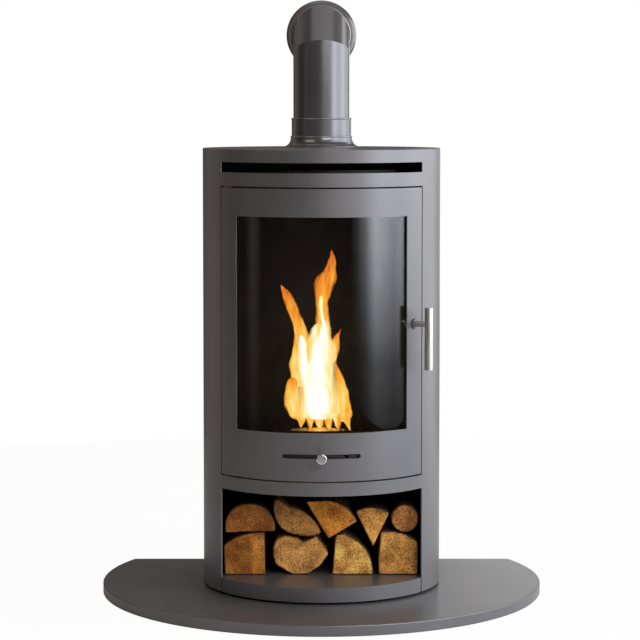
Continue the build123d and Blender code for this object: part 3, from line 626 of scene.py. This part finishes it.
def bead(name, centre, axis, radius, section, material):
    """Round bead spun about an axis through its centre."""
    bm = bmesh.new()
    turn = Vector((0, 0, 1)) if axis == "Z" else Vector((0, 1, 0))
    circle = bmesh.ops.create_circle(bm, segments=BEAD_SIDES, radius=section)["verts"]
    if axis == "Z":
        bmesh.ops.rotate(bm, verts=circle, matrix=Matrix.Rotation(math.pi / 2, 3, "X"))
    bmesh.ops.translate(bm, verts=circle, vec=Vector((radius, 0, 0)))
    bmesh.ops.spin(bm, geom=bm.verts[:] + bm.edges[:], axis=turn, cent=(0, 0, 0), angle=2 * math.pi,
                   steps=BEAD_STEPS, use_merge=True, use_duplicate=False)
    bmesh.ops.translate(bm, verts=bm.verts, vec=Vector(centre))
    bmesh.ops.recalc_face_normals(bm, faces=bm.faces)
    finished(name, bm, material, "cabinet")


class STOVE_OT_beads(bpy.types.Operator):
    """Roll the beads that stiffen the pipe's collar and wall ring"""
    bl_idname = "stove.beads"
    bl_label = "Roll beads"

    def execute(self, context):
        # Lighter, glossier copy of the stove paint: a painted highlight on the beads
        paint = stove_paint("bead_paint", scaled(context.scene.stove.paint, BEAD_HIGHLIGHT_TONE), roughness=0.16)
        low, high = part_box("pipe_collar")
        pipe_y = (low.y + high.y) / 2
        top = (0, pipe_y, high.z - TOP_BEAD_DROP)
        foot = (0, pipe_y, low.z + FOOT_BEAD_RISE)
        bead("collar_top_bead", top, "Z", high.x - BEAD_OFFSET, TOP_BEAD, paint)
        bead("collar_foot_bead", foot, "Z", high.x + BEAD_OFFSET, FOOT_BEAD, paint)
        low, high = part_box("wall_ring")
        front = (0, low.y - BEAD_OFFSET, (low.z + high.z) / 2)
        pipe_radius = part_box("straight_pipe")[1].x
        bead("wall_ring_bead", front, "Y", pipe_radius + WALL_BEAD_GAP, WALL_BEAD, paint)
        return {"FINISHED"}


class STOVE_OT_metal(bpy.types.Operator):
    """Finish the handle, knob, burner, hinges and screws"""
    bl_idname = "stove.metal"
    bl_label = "Finish metal"

    def execute(self, context):
        give(BRUSHED, brushed_steel())
        give(POLISHED, polished_steel())
        give(HEAT_TINTED, heat_tinted_steel())
        give(["door_hinge_bushes"], turned_brass())
        return {"FINISHED"}


class STOVE_OT_window(bpy.types.Operator):
    """Glaze the door, lay its woven tape and fill the burner with wool"""
    bl_idname = "stove.window"
    bl_label = "Glaze door"

    def execute(self, context):
        give(["door_glass"], window_glass())
        give(["glass_gasket"], woven_tape())
        give(["burner_wool"], ceramic_wool())
        return {"FINISHED"}


def facet_kind(vertex, low, high, bark_side, reach):
    """What a log shows at a vertex: end grain, bark or a split side."""
    to_end = min(vertex.co.y - low.y, high.y - vertex.co.y)
    if to_end < reach and abs(vertex.normal.y) > END_FACING:
        return "end_grain"
    across = Vector((vertex.normal.x, vertex.normal.z))
    if bark_side is None or across.dot(Vector(bark_side).normalized()) > BARK_FACING:
        return "bark"
    return "split"


def dent(kind, point, seed):
    """Depth of a log's dent at a point in millimetres, by what it shows there."""
    depth = 0.0
    for share, fineness, along in DENTS[kind]:
        drawn_out = Vector((point.x, point.y * along, point.z))
        depth += share * noise.noise(drawn_out * fineness + seed)
    return depth


def beside_bark(mesh, kinds, seed):
    """Whether each vertex lies on the bark or within a wavering distance of it."""
    tree = kdtree.KDTree(len(mesh.vertices))
    for index, vertex in enumerate(mesh.vertices):
        if kinds[index] == "bark":
            tree.insert(vertex.co, index)
    tree.balance()
    marks = []
    for vertex in mesh.vertices:
        distance = tree.find(vertex.co)[2]
        wobble = RIM_WOBBLE * noise.noise(vertex.co * RIM_FINENESS + seed)
        marks.append(distance is not None and distance < RIM_WIDTH + wobble)
    return marks


def carve_log(node, settings):
    """Carve a split log from its solid: small facets, dents, and marks of end grain and bark."""
    bm = bmesh.new()
    bm.from_mesh(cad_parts[node].data)
    bmesh.ops.remove_doubles(bm, verts=bm.verts, dist=MERGE_DISTANCE)
    piece = finished(f"{node}_wood", bm, split_wood(node, LOG_TONES[node]), "cabinet")
    facets = piece.modifiers.new("facets", "REMESH")
    facets.mode = "VOXEL"
    facets.voxel_size = settings.log_voxel
    apply_modifiers(piece)
    mesh = piece.data
    low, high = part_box(node)
    seed = Vector((0, 0, LOG_SEED_STEP * int(node[-1])))
    reach = END_REACH * settings.log_voxel
    kinds = [facet_kind(vertex, low, high, BARK_SIDES[node], reach) for vertex in mesh.vertices]
    write_attribute(mesh, "end_grain", [kind == "end_grain" for kind in kinds])
    write_attribute(mesh, "bark", [kind == "bark" for kind in kinds])
    write_attribute(mesh, "bark_rim", beside_bark(mesh, kinds, seed))
    places = []
    for vertex, kind in zip(mesh.vertices, kinds):
        depth = DENT_MEAN + DENT_SPREAD * dent(kind, vertex.co / MM, seed)
        places.append(vertex.co - vertex.normal * settings.log_rough * depth)
    for vertex, place in zip(mesh.vertices, places):
        vertex.co = place
    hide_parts(node)


class STOVE_OT_logs(bpy.types.Operator):
    """Carve the nine split logs of the log store"""
    bl_idname = "stove.logs"
    bl_label = "Carve logs"

    def execute(self, context):
        for node in BARK_SIDES:
            carve_log(node, context.scene.stove)
        return {"FINISHED"}


def tongue_shape(stations, depth_share):
    """Closed shape of a tongue, drawn up through its stations from a ring."""
    bm = bmesh.new()
    rings = [bmesh.ops.create_circle(bm, segments=TONGUE_SIDES, radius=1.0)["verts"]]
    edges = list(bm.edges)
    for _ in stations[1:]:
        drawn = bmesh.ops.extrude_edge_only(bm, edges=edges)["geom"]
        edges = [
            item for item in drawn
            if isinstance(item, bmesh.types.BMEdge) and all(vertex in drawn for vertex in item.verts)
        ]
        rings.append([item for item in drawn if isinstance(item, bmesh.types.BMVert)])
    for verts, (x, height, half) in zip(rings, stations):
        bmesh.ops.scale(bm, verts=verts, vec=Vector((half * MM, depth_share * half * MM, 1)))
        bmesh.ops.translate(bm, verts=verts, vec=Vector((x * MM, MOUTH_Y, height * MM)))
    bmesh.ops.holes_fill(bm, edges=bm.edges, sides=TONGUE_SIDES)
    bmesh.ops.recalc_face_normals(bm, faces=bm.faces)
    return bm


def station_at(stations, height):
    """Middle and half width of a tongue at a height."""
    for (x0, z0, half0), (x1, z1, half1) in zip(stations, stations[1:]):
        if z0 <= height <= z1:
            share = (height - z0) / (z1 - z0)
            return x0 + share * (x1 - x0), half0 + share * (half1 - half0)
    x, _, half = stations[0] if height < stations[0][1] else stations[-1]
    return x, half


def waver(point, height, across, up):
    """Noise at a point of the flame, by its fineness across and up."""
    return noise.noise(Vector((point.x * across, point.y * across, height * up)))


def light_tongue(name, stations, material, depth_share, heat):
    """Light a tongue of flame, which thins out towards its sides and flickers."""
    piece = finished(name, tongue_shape(stations, depth_share), material, "burner")
    smooth = piece.modifiers.new("smooth", "SUBSURF")
    smooth.levels = TONGUE_SMOOTHING
    smooth.render_levels = TONGUE_SMOOTHING
    apply_modifiers(piece)
    hot, cool = heat
    lowest = stations[0][1]
    tall = stations[-1][1] - lowest
    middle = []
    warmth = []
    for vertex in piece.data.vertices:
        height = vertex.co.z / MM
        x, half = station_at(stations, height)
        inward = max(0.0, 1.0 - abs(vertex.co.x / MM - x) / max(half, 1.0))
        middle.append(inward * clamped((height - FLAME_FOOT) / FLAME_FOOT_FADE))
        rise = clamped((height - lowest) / tall)
        warmth.append(hot + (cool - hot) * rise ** 2 + SIDE_COOLING * (inward - 0.5) * (1 - rise))
        sway = noise.noise(Vector((0, height * SWAY_FINENESS, len(name))))
        ripple = waver(vertex.co, height, across=90, up=0.035)
        flutter = waver(vertex.co, height, across=240, up=0.09)
        vertex.co.x += RIPPLE * ripple + SWAY * sway + FLUTTER * flutter
        vertex.co.y += RIPPLE_DEPTH * ripple
    write_attribute(piece.data, "middle", middle)
    write_attribute(piece.data, "warmth", warmth)


class STOVE_OT_flame(bpy.types.Operator):
    """Light the flame over the burner's mouth"""
    bl_idname = "stove.flame"
    bl_label = "Light flame"

    def execute(self, context):
        strength = context.scene.stove.flame_strength
        orange = flame_shader("flame_orange", strength, solid=1.9)
        white = flame_shader("flame_white", strength * CORE_BRIGHTNESS, solid=0.95)
        for name, stations in OUTER_TONGUES.items():
            depth = BASE_DEPTH if name == "flame_base" else OUTER_DEPTH
            heat = BODY_HEAT if name == "flame_body" else OUTER_HEAT
            light_tongue(name, stations, orange, depth, heat)
        for name, stations in CORE_TONGUES.items():
            light_tongue(name, stations, white, CORE_DEPTH, CORE_HEAT)
        for name, stations in STRANDS.items():
            light_tongue(name, stations, white, CORE_DEPTH, STRAND_HEAT)
        for name, stations in FOOT_TONGUES.items():
            light_tongue(name, stations, orange, FOOT_DEPTH, FOOT_HEAT)
        return {"FINISHED"}


def round_the_stove(angle, distance, height):
    """Point at an angle from the front, positive to the right."""
    turn = math.radians(angle)
    return (distance * math.sin(turn), -distance * math.cos(turn), height)


# Soft lights: place and size in metres, and colour, with the point that they all face
LIGHTS = {
    "key": (round_the_stove(68, 2.6, 1.1), (4.6, 2.4), (0.87, 0.925, 1)),
    "fill": (round_the_stove(-68, 2.6, 0.9), (0.9, 2.4), (1, 0.88, 0.78)),
    "rim": (round_the_stove(124, 2.4, 1.0), (1.3, 2.2), (0.93, 0.96, 1)),
    "left": ((-2.0, -1.8, 2.4), (1.7, 1.2), (1, 0.87, 0.78)),
    "back": ((0.75, 3.0, 0.7), (0.9, 0.9), (1, 1, 1)),
    "front": ((0.95, -2.6, 1.6), (1.6, 0.9), (1, 0.97, 0.93)),
    "top": ((0.2, 0.3, 3.2), (2.6, 1.8), (1, 1, 1)),
}
LIGHTS_FACE = (0, 0, 0.5)


def soft_light(name, place, size, colour, power):
    """Rectangular soft light that the camera doesn't see."""
    lamp = bpy.data.lights.new(name, "AREA")
    lamp.shape = "RECTANGLE"
    lamp.size, lamp.size_y = size
    lamp.energy = power
    lamp.color = colour
    light = bpy.data.objects.new(name, lamp)
    bpy.context.scene.collection.objects.link(light)
    light.visible_camera = False
    light.location = place
    facing = Vector(LIGHTS_FACE) - Vector(place)
    light.rotation_euler = facing.to_track_quat("-Z", "Y").to_euler()
    return light


def fade_edges(light, across, up):
    """Fade a soft light towards its edges, each way by its own stops."""
    light.data.use_nodes = True
    nodes = Nodes(light.data.node_tree)
    where = nodes.node("ShaderNodeNewGeometry").outputs["Parametric"]
    split = nodes.node("ShaderNodeSeparateXYZ", None, {0: where})
    shares = []
    for output, stops in zip(split.outputs, (across, up)):
        greys = [(place, (value, value, value, 1)) for place, value in stops]
        shares.append(Maths(nodes, nodes.ramp(output, greys)))
    nodes.feed(nodes.tree.nodes["Emission"].inputs["Strength"], shares[0] * shares[1])


def surround(strength):
    """World that is white to the camera, pale behind the stove and dim in front of it."""
    world = bpy.data.worlds.new("surround")
    bpy.context.scene.world = world
    world.use_nodes = True
    nodes = Nodes(world.node_tree)
    direction = nodes.node("ShaderNodeTexCoord").outputs["Generated"]
    split = nodes.node("ShaderNodeSeparateXYZ", None, {0: direction})
    room = nodes.tree.nodes["Background"]
    nodes.feed(room.inputs["Color"], nodes.ramp(split.outputs["Y"], ROOM_COLOURS))
    nodes.feed(room.inputs["Strength"], strength)
    white = nodes.node("ShaderNodeBackground", None, {"Color": (1, 1, 1, 1), "Strength": 1.0})
    nodes.show_camera("World Output", room.outputs[0], white.outputs[0], 1.0)


def floor_disc():
    """Round floor under the hearth plate."""
    bm = bmesh.new()
    bmesh.ops.create_circle(bm, cap_ends=True, segments=FLOOR_SIDES, radius=FLOOR_RADIUS)
    bmesh.ops.translate(bm, verts=bm.verts, vec=Vector((0, 0, -FLOOR_DROP)))
    placed("floor", bm, floor_paint())


def photograph_camera():
    """Camera that frames the stove as the photograph does."""
    lens = bpy.data.cameras.new("camera")
    lens.sensor_width = SENSOR_WIDTH
    lens.lens = FOCAL_PIXELS / IMAGE_WIDTH * SENSOR_WIDTH
    lens.shift_y = SHIFT_PIXELS / IMAGE_WIDTH
    camera = bpy.data.objects.new("camera", lens)
    bpy.context.scene.collection.objects.link(camera)
    camera.location = CAMERA_PLACE
    camera.rotation_euler = (math.pi / 2 - CAMERA_PITCH, 0, 0)
    bpy.context.scene.camera = camera


class STOVE_OT_stage(bpy.types.Operator):
    """Set the floor, lights, surround and camera"""
    bl_idname = "stove.stage"
    bl_label = "Set stage"

    def execute(self, context):
        settings = context.scene.stove
        floor_disc()
        lights = {}
        for name, (place, size, colour) in LIGHTS.items():
            lights[name] = soft_light(name, place, size, colour, getattr(settings, f"{name}_power"))
        fade_edges(lights["key"], KEY_FADE, FADE_UP)
        fade_edges(lights["fill"], FILL_FADE, FADE_UP)
        surround(settings.surround)
        photograph_camera()
        context.scene.view_settings.view_transform = "Standard"
        return {"FINISHED"}


class STOVE_PT_panel(bpy.types.Panel):
    """Steps that dress the stove"""
    bl_idname = "STOVE_PT_panel"
    bl_label = "Stove"
    bl_space_type = "VIEW_3D"
    bl_region_type = "UI"
    bl_category = "Stove"

    def draw(self, context):
        for name in StoveSettings.__annotations__:
            self.layout.prop(context.scene.stove, name)
        for step in STEPS:
            self.layout.operator(step.bl_idname)


STEPS = (
    STOVE_OT_stage, STOVE_OT_cabinet, STOVE_OT_beads, STOVE_OT_metal, STOVE_OT_window, STOVE_OT_logs,
    STOVE_OT_flame,
)
CLASSES = (StoveSettings, *STEPS, STOVE_PT_panel)


def register():
    for item in CLASSES:
        bpy.utils.register_class(item)
    bpy.types.Scene.stove = bpy.props.PointerProperty(type=StoveSettings)


def unregister():
    del bpy.types.Scene.stove
    for item in reversed(CLASSES):
        bpy.utils.unregister_class(item)


def main():
    register()
    bpy.ops.stove.stage()
    bpy.ops.stove.cabinet()
    bpy.ops.stove.beads()
    bpy.ops.stove.metal()
    bpy.ops.stove.window()
    bpy.ops.stove.logs()
    bpy.ops.stove.flame()


if __name__ == "__main__":
    main()
